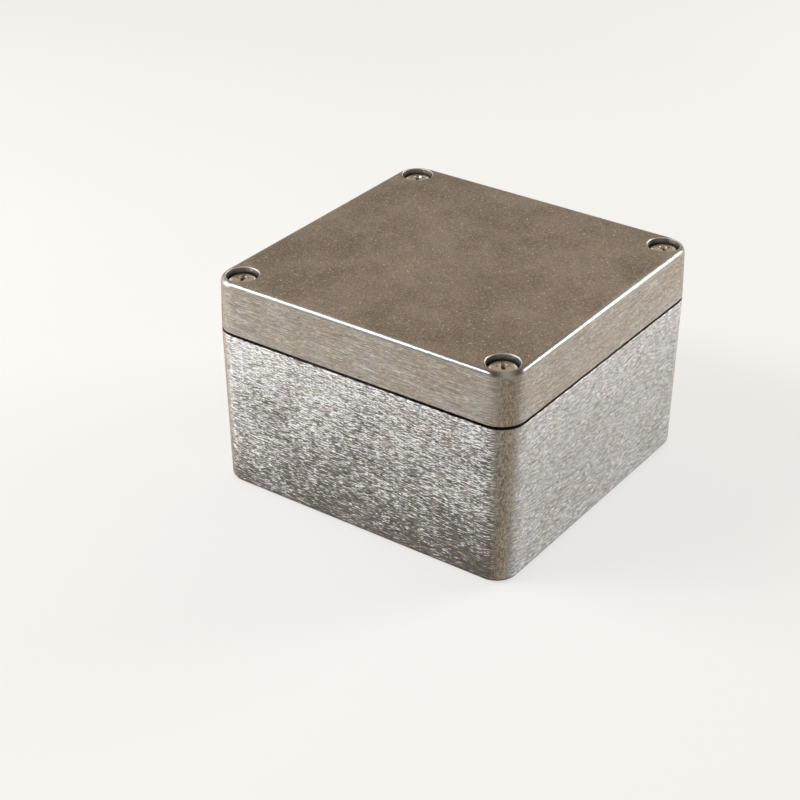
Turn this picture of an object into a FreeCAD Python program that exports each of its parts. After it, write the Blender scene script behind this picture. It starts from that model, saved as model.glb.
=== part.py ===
"""Die cast aluminium box, 122 x 120 x 80 mm, sealed lid held by four captive screws.

The box is two castings.  The base is a drafted tub whose four corner pillars carry, side by
side, a tapped hole for a lid screw and a cored hole for a wall screw.  Both lie outside the
seal, so the inside of the box is plus-shaped in plan.  A tongue round the mouth of the base
presses on a gasket that lies in a groove in the lid.  Four pads under the lid stop it on the
pillars, which leaves a thin shadow gap all the way round.  Each lid screw is waisted, and a
plastic ring on the waist keeps it in the lid when it has been turned out of the base.

Row frame: millimetres, +Z up, origin on the table under the centre of the box.  X runs along
the 122 mm side and Y along the 120 mm side, with the front at -Y.
"""

import FreeCAD
import Part
import math
import os

V = FreeCAD.Vector
UP = V(0, 0, 1)

# ---- Outside of the box ---------------------------------------------------------------
WIDTH = 122.0            # along X, at the joint between base and lid
DEPTH = 120.0            # along Y, at the joint
HEIGHT = 80.0            # table to the top of the lid
BASE_HEIGHT = 59.8       # table to the rim of the base
SHADOW_GAP = 0.9         # rim of the base to rim of the lid
CORNER_RADIUS = 9.4      # upright corners, at the joint
BASE_DRAFT = 1.1         # degrees, narrowing downwards
LID_DRAFT = 1.4          # degrees, narrowing upwards
FOOT_RADIUS = 2.2        # edge between the base's walls and its underside
LID_TOP_RADIUS = 2.4     # edge between the lid's walls and its top
BASE_RIM_CHAMFER = 0.15
LID_RIM_CHAMFER = 0.2

# ---- Inside of the box ----------------------------------------------------------------
WALL = 5.0               # at the rim, enough for the seal and a land outside it
FLOOR = 4.5
LID_PLATE = 4.0          # thickness of the lid's top
PILLAR_X = 44.0          # inner faces of the corner pillars
PILLAR_Y = 32.0
PILLAR_RADIUS = 7.0      # upright edge of a pillar that faces the inside
ARM_RADIUS = 4.0         # upright hollow edges at the ends of the plus
CAVITY_DRAFT = 1.0       # degrees
CAVITY_CHAMFER = 1.2     # where the walls meet the floor, and the same inside the lid

# ---- Seal: tongue on the base, groove and gasket in the lid ---------------------------
# Each is a band along the mouth of the base, given by how far its two sides lie outside it.
TONGUE = (0.5, 2.1)
GROOVE = (-0.3, 2.9)
GASKET = (-0.2, 2.8)
TONGUE_HEIGHT = 2.25     # stops 0.05 below the gasket, which is drawn relaxed
GROOVE_DEPTH = 4.0
GASKET_THICKNESS = 2.6
LID_RIB = 1.5            # thickness of the rib inside the groove

# ---- Lid screws -----------------------------------------------------------------------
SCREW_INSET = 8.3        # axis to the two nearest faces, at the joint
SCREW_X = WIDTH / 2 - SCREW_INSET
SCREW_Y = DEPTH / 2 - SCREW_INSET
HEAD_RADIUS = 4.9
HEAD_HEIGHT = 3.7
HEAD_BELOW_TOP = 1.2     # crown of the head below the top of the lid
WAIST_RADIUS = 2.0
THREAD_RADIUS = 2.5
THREAD_DEPTH = 10.0      # length of thread in the base, and the way a screw rises when undone
RUNNING_GAP = 0.05       # between a thread's outside and the plain hole that stands for its nut
COUNTERBORE_RADIUS = 5.7
NECK_RADIUS = 2.7        # hole under the head, which the ring can't pass
NECK_THICKNESS = 2.8
PAD_RADIUS = 5.2
RING_RADIUS = 4.0
RING_THICKNESS = 1.6
RING_LIFT = 0.4          # underside of the ring above the pillar
CHAMBER_RADIUS = 4.2     # room in the lid for the ring to rise in
TAPPED_HOLE_DEPTH = 16.0

# ---- Wall screws: 106 x 82 mm ---------------------------------------------------------
WALL_HOLE_X = 53.0
WALL_HOLE_Y = 41.0
WALL_HOLE_RADIUS = 3.2
WALL_SCREW_SEAT = 8.0    # height of the ledge that the wall screw's head pulls on
POCKET_RADIUS = 5.2      # cored pocket above the ledge
RELIEF_DEPTH = 10.3      # pocket in the lid above each wall screw

# ---- Bosses on the floor --------------------------------------------------------------
BOARD_X = 46.0
BOARD_Y = 23.0
BOARD_BOSS_RADIUS = 3.8
BOARD_BOSS_HEIGHT = 8.0
BOARD_HOLE_RADIUS = 1.65
BOARD_HOLE_DEPTH = 7.0
EARTH_X = -30.0
EARTH_Y = -45.0
EARTH_BOSS_RADIUS = 5.2
EARTH_BOSS_HEIGHT = 6.0

# ---- Earth screw and its toothed washer -----------------------------------------------
EARTH_THREAD_RADIUS = 2.0
EARTH_THREAD_LENGTH = 7.0
EARTH_HEAD_RADIUS = 4.0
EARTH_HEAD_HEIGHT = 3.1
EARTH_WASHER_RADIUS = 4.4
EARTH_WASHER_BORE = 2.15
EARTH_WASHER_THICKNESS = 0.8
EARTH_WASHER_TEETH = 10

LID_RIM = BASE_HEIGHT + SHADOW_GAP
HEAD_SEAT = HEIGHT - HEAD_BELOW_TOP - HEAD_HEIGHT
LID_CEILING = HEIGHT - LID_PLATE
GROOVE_TOP = LID_RIM + GROOVE_DEPTH
OVERCUT = 1.0            # how far a cutting tool reaches past the face that it opens
QUADRANTS = ((1, 1), (-1, 1), (-1, -1), (1, -1))

SCREWS = {               # name: (side in X, side in Y, degrees that its cross recess is turned)
    "front_right": (1, -1, 36.0),
    "front_left": (-1, -1, 22.0),
    "back_left": (-1, 1, 50.0),
    "back_right": (1, 1, 29.0),
}


def slope(degrees, rise):
    """How far a face drafted by so many degrees leans over so many millimetres of height."""
    return math.tan(math.radians(degrees)) * rise


# ---- Outlines -------------------------------------------------------------------------
def rounded_outline(corners, z):
    """Closed wire at height z through right-angled corners (x, y, radius)."""
    starts, ends, arcs = [], [], []
    for i, (x, y, radius) in enumerate(corners):
        corner = V(x, y, z)
        before = V(corners[i - 1][0], corners[i - 1][1], z) - corner
        after_xy = corners[(i + 1) % len(corners)]
        after = V(after_xy[0], after_xy[1], z) - corner
        before.normalize()
        after.normalize()
        centre = corner + (before + after) * radius
        starts.append(corner + before * radius)
        ends.append(corner + after * radius)
        middle = centre - (before + after) * (radius / math.sqrt(2))
        arcs.append(Part.Arc(starts[-1], middle, ends[-1]).toShape())
    edges = []
    for i, arc in enumerate(arcs):
        edges.append(Part.LineSegment(ends[i - 1], starts[i]).toShape())
        edges.append(arc)
    return Part.Wire(edges)


def shell_outline(inset, z):
    """Outer outline of either casting, so far inside its size at the joint."""
    x, y, radius = WIDTH / 2 - inset, DEPTH / 2 - inset, CORNER_RADIUS - inset
    return rounded_outline([(x, y, radius), (-x, y, radius), (-x, -y, radius), (x, -y, radius)], z)


def mouth_outline(outside, z):
    """The plus-shaped mouth of the base, moved outwards by so much."""
    arm_x = WIDTH / 2 - WALL + outside
    arm_y = DEPTH / 2 - WALL + outside
    side_x, side_y = PILLAR_X + outside, PILLAR_Y + outside
    hollow, proud = ARM_RADIUS + outside, PILLAR_RADIUS - outside
    corners = [
        (arm_x, side_y, hollow), (side_x, side_y, proud), (side_x, arm_y, hollow),
        (-side_x, arm_y, hollow), (-side_x, side_y, proud), (-arm_x, side_y, hollow),
        (-arm_x, -side_y, hollow), (-side_x, -side_y, proud), (-side_x, -arm_y, hollow),
        (side_x, -arm_y, hollow), (side_x, -side_y, proud), (arm_x, -side_y, hollow),
    ]
    return rounded_outline(corners, z)


def band(sides, z, height):
    """Solid band that follows the mouth between two distances outside it."""
    inner, outer = sides
    ring = Part.Face(mouth_outline(outer, z)).cut(Part.Face(mouth_outline(inner, z)))
    return ring.extrude(UP * height)


def drafted(outline, low, high):
    """Solid between two (distance, height) sections of an outline function."""
    return Part.makeLoft([outline(*low), outline(*high)], True, True)


def edges_at(shape, z):
    """Edges that lie flat at height z."""
    return [e for e in shape.Edges
            if abs(e.BoundBox.ZMin - z) < 1e-4 and abs(e.BoundBox.ZMax - z) < 1e-4]


def bar(x, y, radius, low, high):
    """Upright round bar between two heights."""
    return Part.makeCylinder(radius, high - low, V(x, y, low))


# ---- Base -----------------------------------------------------------------------------
def base_tub():
    """Outer block with its rounded foot and rim, hollowed by the drafted cavity."""
    block = drafted(shell_outline, (slope(BASE_DRAFT, BASE_HEIGHT), 0), (0, BASE_HEIGHT))
    block = block.makeFillet(FOOT_RADIUS, edges_at(block, 0))
    block = block.makeChamfer(BASE_RIM_CHAMFER, edges_at(block, BASE_HEIGHT))
    floor_out = -slope(CAVITY_DRAFT, BASE_HEIGHT - FLOOR)
    top_out = slope(CAVITY_DRAFT, OVERCUT)
    cavity = drafted(mouth_outline, (floor_out, FLOOR), (top_out, BASE_HEIGHT + OVERCUT))
    cavity = cavity.makeChamfer(CAVITY_CHAMFER, edges_at(cavity, FLOOR))
    return block.cut(cavity)


def pillar_holes():
    """Tools for the tapped holes and the stepped wall-screw holes of the four pillars."""
    tools = []
    tap = THREAD_RADIUS + RUNNING_GAP
    mouth = 0.5
    bottom = BASE_HEIGHT - TAPPED_HOLE_DEPTH
    drill_point = tap / math.tan(math.radians(59))
    for sx, sy in QUADRANTS:
        x, y = sx * SCREW_X, sy * SCREW_Y
        tools.append(bar(x, y, tap, bottom, BASE_HEIGHT + OVERCUT))
        tools.append(Part.makeCone(0, tap, drill_point, V(x, y, bottom - drill_point)))
        tools.append(Part.makeCone(tap, tap + 2 * mouth, 2 * mouth, V(x, y, BASE_HEIGHT - mouth)))
        x, y = sx * WALL_HOLE_X, sy * WALL_HOLE_Y
        tools.append(bar(x, y, POCKET_RADIUS, WALL_SCREW_SEAT, BASE_HEIGHT + OVERCUT))
        tools.append(bar(x, y, WALL_HOLE_RADIUS, -OVERCUT, WALL_SCREW_SEAT + OVERCUT))
    return tools


def floor_boss(x, y, radius, height, hole_radius, hole_depth):
    """Boss on the floor with a blind hole; returns the boss and the tool for the hole."""
    top = FLOOR + height
    boss = bar(x, y, radius, FLOOR - 1, top)
    hole = bar(x, y, hole_radius, top - hole_depth, top + OVERCUT)
    return boss, hole


def make_base():
    """The base casting."""
    bosses, holes = [], pillar_holes()
    for sx, sy in QUADRANTS:
        boss, hole = floor_boss(sx * BOARD_X, sy * BOARD_Y, BOARD_BOSS_RADIUS,
                                BOARD_BOSS_HEIGHT, BOARD_HOLE_RADIUS, BOARD_HOLE_DEPTH)
        bosses.append(boss)
        holes.append(hole)
    boss, hole = floor_boss(EARTH_X, EARTH_Y, EARTH_BOSS_RADIUS, EARTH_BOSS_HEIGHT,
                            EARTH_THREAD_RADIUS + RUNNING_GAP, EARTH_THREAD_LENGTH + 0.5)
    bosses.append(boss)
    holes.append(hole)
    sunk = 0.5
    tongue = band(TONGUE, BASE_HEIGHT - sunk, TONGUE_HEIGHT + sunk)
    return base_tub().fuse(bosses + [tongue]).cut(Part.Compound(holes)).removeSplitter()


# ---- Lid ------------------------------------------------------------------------------
def lid_shell():
    """Outer block with its rounded edges, the plus-shaped recess and the gasket groove."""
    lean = slope(LID_DRAFT, HEIGHT - LID_RIM)
    block = drafted(shell_outline, (0, LID_RIM), (lean, HEIGHT))
    block = block.makeFillet(LID_TOP_RADIUS, edges_at(block, HEIGHT))
    block = block.makeChamfer(LID_RIM_CHAMFER, edges_at(block, LID_RIM))
    mouth = GROOVE[0] - LID_RIB
    low = (mouth + slope(CAVITY_DRAFT, OVERCUT), LID_RIM - OVERCUT)
    high = (mouth - slope(CAVITY_DRAFT, LID_CEILING - LID_RIM), LID_CEILING)
    recess = drafted(mouth_outline, low, high)
    recess = recess.makeChamfer(CAVITY_CHAMFER, edges_at(recess, LID_CEILING))
    groove = band(GROOVE, LID_RIM - OVERCUT, GROOVE_DEPTH + OVERCUT)
    return block.cut([recess, groove])


def make_lid():
    """The lid casting, with its four stop pads and the stepped holes for the screws."""
    pads, holes = [], []
    bevel = 0.3
    chamber_top = HEAD_SEAT - NECK_THICKNESS
    for sx, sy in QUADRANTS:
        x, y = sx * SCREW_X, sy * SCREW_Y
        pads.append(bar(x, y, PAD_RADIUS, BASE_HEIGHT, LID_RIM + OVERCUT))
        holes.append(bar(x, y, COUNTERBORE_RADIUS, HEAD_SEAT, HEIGHT + OVERCUT))
        holes.append(Part.makeCone(COUNTERBORE_RADIUS - bevel, COUNTERBORE_RADIUS + bevel, 2 * bevel,
                                   V(x, y, HEIGHT - 2 * bevel + 0.01)))
        holes.append(bar(x, y, NECK_RADIUS, chamber_top - OVERCUT, HEAD_SEAT + OVERCUT))
        holes.append(bar(x, y, CHAMBER_RADIUS, BASE_HEIGHT - OVERCUT, chamber_top))
        x, y = sx * WALL_HOLE_X, sy * WALL_HOLE_Y
        holes.append(bar(x, y, POCKET_RADIUS, LID_RIM - OVERCUT, LID_RIM + RELIEF_DEPTH))
    return lid_shell().fuse(pads).cut(holes).removeSplitter()


def make_gasket():
    """One-piece gasket at the top of the groove; the tongue of the base presses on its underside."""
    return band(GASKET, GROOVE_TOP - GASKET_THICKNESS, GASKET_THICKNESS)


# ---- Screws and washers ---------------------------------------------------------------
def cross_recess(span, width, depth, top):
    """Tool for a cross recess whose four wings narrow towards the bottom."""
    above = 0.3
    foot_x, foot_y = 0.16 * span, 0.18 * width
    wing = Part.makeWedge(-foot_x, 0, -foot_y, -width / 2, -span / 2,
                          foot_x, depth + above, foot_y, width / 2, span / 2)
    wing.rotate(V(0, 0, 0), V(1, 0, 0), 90)
    wing.translate(V(0, 0, top - depth))
    crossing = wing.copy()
    crossing.rotate(V(0, 0, 0), UP, 90)
    return wing.fuse(crossing)


def pan_head(radius, height, seat):
    """(radius, z) points of a pan head from the middle of its crown to the edge of its underside."""
    return [(0, seat + height), (0.45 * radius, seat + height), (0.8 * radius, seat + 0.86 * height),
            (radius, seat + 0.58 * height), (radius, seat)]


def turned(profile):
    """Solid of revolution about the Z axis from (radius, z) points that start and end on it."""
    points = [V(radius, 0, z) for radius, z in profile]
    face = Part.Face(Part.makePolygon(points + points[:1]))
    return face.revolve(V(0, 0, 0), UP, 360)


def make_lid_screw(side_x, side_y, turn):
    """Pan head screw with a cross recess, waisted above its thread."""
    tip = BASE_HEIGHT - THREAD_DEPTH
    shoulder = BASE_HEIGHT + RING_LIFT
    bevel = 0.6
    shank = [
        (WAIST_RADIUS, HEAD_SEAT), (WAIST_RADIUS, shoulder), (THREAD_RADIUS, shoulder),
        (THREAD_RADIUS, tip + bevel), (THREAD_RADIUS - bevel, tip), (0, tip),
    ]
    screw = turned(pan_head(HEAD_RADIUS, HEAD_HEIGHT, HEAD_SEAT) + shank)
    screw = screw.cut(cross_recess(5.0, 1.25, 2.5, HEAD_SEAT + HEAD_HEIGHT))
    screw.rotate(V(0, 0, 0), UP, turn)
    screw.translate(V(side_x * SCREW_X, side_y * SCREW_Y, 0))
    return screw


def make_screw_ring(side_x, side_y):
    """Plastic ring on the waist, lifted by the shoulder of the thread."""
    x, y = side_x * SCREW_X, side_y * SCREW_Y
    low = BASE_HEIGHT + RING_LIFT
    bore = WAIST_RADIUS + 2 * RUNNING_GAP
    ring = bar(x, y, RING_RADIUS, low, low + RING_THICKNESS)
    return ring.cut(bar(x, y, bore, low - OVERCUT, low + RING_THICKNESS + OVERCUT))


def make_earth_washer():
    """Washer with teeth cut round its rim, under the earth screw's head."""
    low = FLOOR + EARTH_BOSS_HEIGHT
    high = low + EARTH_WASHER_THICKNESS
    washer = bar(EARTH_X, EARTH_Y, EARTH_WASHER_RADIUS, low, high)
    notches = [bar(EARTH_X, EARTH_Y, EARTH_WASHER_BORE, low - OVERCUT, high + OVERCUT)]
    notch_depth, notch_width = 0.9, 1.0
    for i in range(EARTH_WASHER_TEETH):
        notch = Part.makeBox(2 * notch_depth, notch_width, high - low + 2 * OVERCUT,
                             V(EARTH_WASHER_RADIUS - notch_depth, -notch_width / 2, low - OVERCUT))
        notch.rotate(V(0, 0, 0), UP, i * 360 / EARTH_WASHER_TEETH)
        notch.translate(V(EARTH_X, EARTH_Y, 0))
        notches.append(notch)
    return washer.cut(notches)


def make_earth_screw():
    """Short pan head screw in the earth boss, with a cross recess."""
    seat = FLOOR + EARTH_BOSS_HEIGHT + EARTH_WASHER_THICKNESS
    tip = FLOOR + EARTH_BOSS_HEIGHT - EARTH_THREAD_LENGTH
    bevel = 0.5
    shank = [(EARTH_THREAD_RADIUS, seat), (EARTH_THREAD_RADIUS, tip + bevel),
             (EARTH_THREAD_RADIUS - bevel, tip), (0, tip)]
    screw = turned(pan_head(EARTH_HEAD_RADIUS, EARTH_HEAD_HEIGHT, seat) + shank)
    screw = screw.cut(cross_recess(4.2, 1.1, 2.1, seat + EARTH_HEAD_HEIGHT))
    screw.rotate(V(0, 0, 0), UP, 17)
    screw.translate(V(EARTH_X, EARTH_Y, 0))
    return screw


# ---- Export ---------------------------------------------------------------------------
def make_parts():
    """Every piece of the box by its node name."""
    parts = {
        "base": make_base(),
        "lid": make_lid(),
        "gasket": make_gasket(),
        "earth_washer": make_earth_washer(),
        "earth_screw": make_earth_screw(),
    }
    for place, (side_x, side_y, turn) in SCREWS.items():
        parts["lid_screw_" + place] = make_lid_screw(side_x, side_y, turn)
        parts["screw_ring_" + place] = make_screw_ring(side_x, side_y)
    return parts


os.makedirs("parts", exist_ok=True)
for name, shape in make_parts().items():
    assert shape.isValid() and shape.Volume > 0, name
    shape.exportStep("parts/" + name + ".step")
    print("%-26s %9.1f mm3  %d solid(s), %d faces" % (name, shape.Volume, len(shape.Solids), len(shape.Faces)))
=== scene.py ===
# %% [markdown]
# # A sealed die cast aluminium box
#
# The real box is two aluminium castings, a deep base and a shallow lid, drawn together by four
# screws that stay in the lid when they are undone. A gasket in the lid presses on a tongue that
# runs round the mouth of the base.
#
# The castings come from the frame with their true shape, so this lesson leaves them where they
# are and gives them their surface. What it models is what the plain solids lack: the rounded
# heads of the screws with their cross recesses, and a ridge for each thread, which has a fault
# that the thread step names. Four lamps, a pale floor and a dim room then light the metal.

# %% Load the frame
import math

import bmesh
import bpy
from mathutils import Matrix, Vector


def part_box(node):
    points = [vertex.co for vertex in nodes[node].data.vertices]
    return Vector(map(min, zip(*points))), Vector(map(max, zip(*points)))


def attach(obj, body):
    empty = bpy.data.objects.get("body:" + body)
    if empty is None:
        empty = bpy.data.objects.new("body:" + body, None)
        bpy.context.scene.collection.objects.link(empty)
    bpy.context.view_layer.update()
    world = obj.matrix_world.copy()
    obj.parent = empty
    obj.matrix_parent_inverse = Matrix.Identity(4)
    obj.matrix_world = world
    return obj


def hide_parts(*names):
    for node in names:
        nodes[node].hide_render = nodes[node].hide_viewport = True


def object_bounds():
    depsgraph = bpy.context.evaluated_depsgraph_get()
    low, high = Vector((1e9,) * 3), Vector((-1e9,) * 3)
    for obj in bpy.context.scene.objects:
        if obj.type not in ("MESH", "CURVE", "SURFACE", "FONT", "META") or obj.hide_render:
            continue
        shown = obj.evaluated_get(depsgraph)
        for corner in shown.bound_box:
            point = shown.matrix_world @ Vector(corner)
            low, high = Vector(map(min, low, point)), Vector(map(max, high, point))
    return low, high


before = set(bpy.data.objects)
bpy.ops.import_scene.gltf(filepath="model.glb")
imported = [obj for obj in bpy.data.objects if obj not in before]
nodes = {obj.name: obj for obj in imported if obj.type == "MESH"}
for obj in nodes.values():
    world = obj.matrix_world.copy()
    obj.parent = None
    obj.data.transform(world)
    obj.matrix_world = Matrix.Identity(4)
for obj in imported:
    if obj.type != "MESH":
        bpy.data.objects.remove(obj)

MM = 0.001
cad_low, cad_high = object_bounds()
box_centre = (cad_low + cad_high) / 2
box_size = cad_high - cad_low
SCREW_PLACES = ("front_right", "front_left", "back_left", "back_right")
print("box of", [round(side / MM, 1) for side in box_size], "mm,", len(nodes), "nodes")

# %% [markdown]
# ## Where the camera stands
#
# A product picture of a small box is taken with a long lens from above one corner, so that two
# walls and the lid show and the uprights lean in only a little. The camera is placed by its
# angle round the box, its height angle and its distance. That is easier to change later than a
# position. It aims a little in front of the box, which puts the box in the upper half of the
# picture.

# %% Camera
VIEW_AZIMUTH = math.radians(35.62)
VIEW_ELEVATION = math.radians(30.40)
VIEW_ROLL = math.radians(-0.10)
VIEW_DISTANCE = 0.650
AIM_IN_FRONT = 0.034
AIM_TO_RIGHT = 0.0004
LENS_MM = 85.3
SENSOR_MM = 36.0

camera_data = bpy.data.cameras.new("camera")
camera_data.lens = LENS_MM
camera_data.sensor_width = SENSOR_MM
camera = bpy.data.objects.new("camera", camera_data)
bpy.context.scene.collection.objects.link(camera)
bpy.context.scene.camera = camera

aim = box_centre + Vector((AIM_TO_RIGHT, -AIM_IN_FRONT, 0.0))
towards_camera = Vector((
    math.sin(VIEW_AZIMUTH) * math.cos(VIEW_ELEVATION),
    -math.cos(VIEW_AZIMUTH) * math.cos(VIEW_ELEVATION),
    math.sin(VIEW_ELEVATION),
))
camera.rotation_mode = "QUATERNION"
look = (-towards_camera).to_track_quat("-Z", "Y")
camera.rotation_quaternion = look @ Matrix.Rotation(VIEW_ROLL, 4, "Z").to_quaternion()
camera.location = aim + towards_camera * VIEW_DISTANCE
print("camera at", [round(value, 3) for value in camera.location])

# %% [markdown]
# ## Writing node trees as sums
#
# A pattern on metal is mostly arithmetic: stretch the coordinates, take a noise, cut it at a
# level, mix two colours by it. Wiring that by hand hides the sum. Two small classes keep it
# readable. `Wire` is one socket, and + - * / on it add Math nodes. `Tree` adds any other node,
# setting its options first and its inputs after. Three more sums have no sign of their own, so
# they are functions: the larger and the smaller of two values, and the length of an arrow.

# %% Tree and Wire
class Wire:
    """One output socket of a node tree. Arithmetic on it adds Math nodes to its tree."""

    def __init__(self, socket):
        self.socket = socket

    def math(self, operation, *values):
        """A Math node in this wire's tree, fed with wires or numbers in order."""
        tree = Tree(self.socket.id_data)
        inputs = dict(enumerate(values))
        return tree.add("ShaderNodeMath", {"operation": operation}, inputs)

    def __add__(self, other):
        return self.math("ADD", self, other)

    def __radd__(self, other):
        return self.math("ADD", other, self)

    def __sub__(self, other):
        return self.math("SUBTRACT", self, other)

    def __rsub__(self, other):
        return self.math("SUBTRACT", other, self)

    def __mul__(self, other):
        return self.math("MULTIPLY", self, other)

    def __truediv__(self, other):
        return self.math("DIVIDE", self, other)


class Tree:
    """A shader or geometry node tree that is being built."""

    def __init__(self, tree):
        self.tree = tree

    def add(self, kind, settings=None, inputs=None, output=0):
        """Adds a node, links the inputs that are wires and returns one of its outputs."""
        node = self.tree.nodes.new(kind)
        for name, value in (settings or {}).items():
            setattr(node, name, value)
        for key, value in (inputs or {}).items():
            if isinstance(value, Wire):
                self.tree.links.new(value.socket, node.inputs[key])
            else:
                node.inputs[key].default_value = value
        return Wire(node.outputs[output]) if len(node.outputs) else None


def larger(first, second):
    """The larger of a wire and a second value."""
    return first.math("MAXIMUM", first, second)


def smaller(first, second):
    """The smaller of a wire and a second value."""
    return first.math("MINIMUM", first, second)


def length_of(x, y):
    """The length of the flat arrow (x, y)."""
    return x.math("SQRT", x * x + y * y)


print("node helpers ready")

# %% [markdown]
# ## Patterns that the finishes share
#
# All patterns are laid out in millimetres of the object's own coordinates, so a grain keeps its
# real size on every piece. `noise` gives soft grain. `dashes` gives separate strokes: a Voronoi
# texture has one random grey per cell, and when its space is squeezed upwards the cells become
# short level dashes with sharp ends. Both are drawn out equally along X and Y, so they run level
# round all four walls and their corners with no seam. A slow wave lifts and lowers the
# coordinate first, so that strokes cross at small angles, as hand-fed work on a belt leaves them.

# %% Patterns
# A Mix node has sockets of the same name for numbers and for colours. These are the colour ones.
MIX_FIRST = 6
MIX_SECOND = 7
MIX_RESULT = 2


def millimetres(tree):
    """The object's own coordinates in millimetres."""
    place = tree.add("ShaderNodeTexCoord", output="Object")
    return tree.add("ShaderNodeVectorMath", {"operation": "SCALE"}, {0: place, "Scale": 1 / MM})


def stretched(tree, place, stretch, seed):
    """Coordinates squeezed by a factor on each axis, then moved to another part of a pattern."""
    squeezed = tree.add("ShaderNodeVectorMath", {"operation": "MULTIPLY"}, {0: place, 1: stretch})
    return tree.add("ShaderNodeVectorMath", {"operation": "ADD"}, {0: squeezed, 1: (seed, seed, seed)})


def noise(tree, place, stretch, detail=2.0, roughness=0.5, seed=0.0):
    """Noise between 0 and 1 whose grains measure about 1 / stretch millimetres on each axis."""
    moved = stretched(tree, place, stretch, seed)
    inputs = {"Vector": moved, "Scale": 1.0, "Detail": detail, "Roughness": roughness}
    return tree.add("ShaderNodeTexNoise", {"noise_dimensions": "3D"}, inputs)


def dashes(tree, place, stretch, seed=0.0):
    """A random grey and a random colour for each cell of about 1 / stretch millimetres."""
    inputs = {"Vector": stretched(tree, place, stretch, seed), "Scale": 1.0}
    colour = tree.add("ShaderNodeTexVoronoi", {"feature": "F1"}, inputs, output="Color")
    return tree.add("ShaderNodeSeparateColor", inputs={0: colour}), colour


def swayed(tree, place, length, rise, seed):
    """Coordinates whose height sways slowly, so that level strokes tilt a few degrees."""
    sway = noise(tree, place, (1 / length,) * 3, detail=0.0, seed=seed)
    lift = tree.add("ShaderNodeCombineXYZ", inputs={"Z": (sway - 0.5) * rise})
    return tree.add("ShaderNodeVectorMath", {"operation": "ADD"}, {0: place, 1: lift})


def step_between(tree, value, low, high):
    """0 below low, 1 above high, and a soft step between them."""
    settings = {"interpolation_type": "SMOOTHSTEP"}
    return tree.add("ShaderNodeMapRange", settings, {"Value": value, "From Min": low, "From Max": high})


def mix_colour(tree, share, first, second):
    """Mixes two colours by a share from 0 to 1."""
    inputs = {"Factor": share, MIX_FIRST: first, MIX_SECOND: second}
    return tree.add("ShaderNodeMix", {"data_type": "RGBA"}, inputs, output=MIX_RESULT)


print("patterns ready")

# %% [markdown]
# ## Putting a finish together
#
# A finish is a material whose tree ends in one surface. A Principled node makes a surface, and a
# Mix Shader joins two where a piece has two. Relief too fine for the mesh comes from Bump, with
# its depth in real millimetres.

# %% Finishes
def new_finish(name):
    """A material with an empty tree. Returns both."""
    material = bpy.data.materials.new(name)
    material.use_nodes = True
    material.node_tree.nodes.clear()
    return material, Tree(material.node_tree)


def principled(tree, inputs):
    """The surface itself, from named inputs."""
    return tree.add("ShaderNodeBsdfPrincipled", inputs=inputs)


def mix_surface(tree, share, first, second):
    """Mixes two surfaces by a share from 0 to 1."""
    return tree.add("ShaderNodeMixShader", inputs={0: share, 1: first, 2: second})


def finish_with(tree, surface):
    """Closes a material's tree with its surface."""
    tree.add("ShaderNodeOutputMaterial", inputs={"Surface": surface})


def bumped(tree, height, depth_mm):
    """Normals from a height between 0 and 1 that stands for so many millimetres."""
    return tree.add("ShaderNodeBump", inputs={"Height": height, "Distance": depth_mm * MM})


print("finish helpers ready")

# %% [markdown]
# ## Where on a casting a point lies
#
# Each casting is one piece with several surfaces on it: rubbed walls, bare cast skin inside and,
# on the lid, dark counterbores. Painting face by face would need a list of faces. Measuring is
# simpler. The outline of the box is a rounded rectangle, and the distance of a point from it
# tells the outer walls from the inside. The distance from the nearest screw axis tells the
# counterbores. Both come from the frame's own sizes.

# %% Distances
CORNER_RADIUS_MM = 9.4
CORNER_X_MM = box_size.x / MM / 2 - CORNER_RADIUS_MM
CORNER_Y_MM = box_size.y / MM / 2 - CORNER_RADIUS_MM
INSIDE_FADE_MM = 0.4
THREAD_LENGTH = 10.0 * MM
base_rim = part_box("lid_screw_front_right")[0].z + THREAD_LENGTH
screw_low, screw_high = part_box("lid_screw_back_right")
SCREW_X_MM = (screw_low.x + screw_high.x) / 2 / MM
SCREW_Y_MM = (screw_low.y + screw_high.y) / 2 / MM


def along(tree, place, axis):
    """One coordinate of a place: X, Y or Z."""
    return tree.add("ShaderNodeSeparateXYZ", inputs={0: place}, output=axis)


def off_centre(tree, place, x_mm, y_mm):
    """How far a point is out beyond x and y, on whichever side of the box it lies."""
    x = along(tree, place, "X")
    y = along(tree, place, "Y")
    return x.math("ABSOLUTE", x) - x_mm, y.math("ABSOLUTE", y) - y_mm


def deeper_than(tree, place, depth_mm):
    """1 where a point lies more than this inside the outline of the box at the joint."""
    x, y = off_centre(tree, place, CORNER_X_MM, CORNER_Y_MM)
    round_part = length_of(larger(x, 0.0), larger(y, 0.0))
    flat_part = smaller(larger(x, y), 0.0)
    depth = CORNER_RADIUS_MM - (round_part + flat_part)
    return step_between(tree, depth, depth_mm, depth_mm + INSIDE_FADE_MM)


def from_screw_axis(tree, place):
    """How many millimetres a point lies from the nearest lid screw's axis."""
    return length_of(*off_centre(tree, place, SCREW_X_MM, SCREW_Y_MM))


print("screw axes at", round(SCREW_X_MM, 2), round(SCREW_Y_MM, 2), "mm")

# %% [markdown]
# ## Bare cast skin
#
# Inside and underneath nobody rubs a casting. It keeps the skin that it had in the mould: dull,
# slightly pebbled, and clouded where the metal flowed. Both castings share this function.

# %% Cast skin
CAST_DARK = (0.36, 0.345, 0.325, 1.0)
CAST_LIGHT = (0.56, 0.55, 0.53, 1.0)
CAST_PEBBLE = (0.64, 0.63, 0.61, 1.0)


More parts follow.
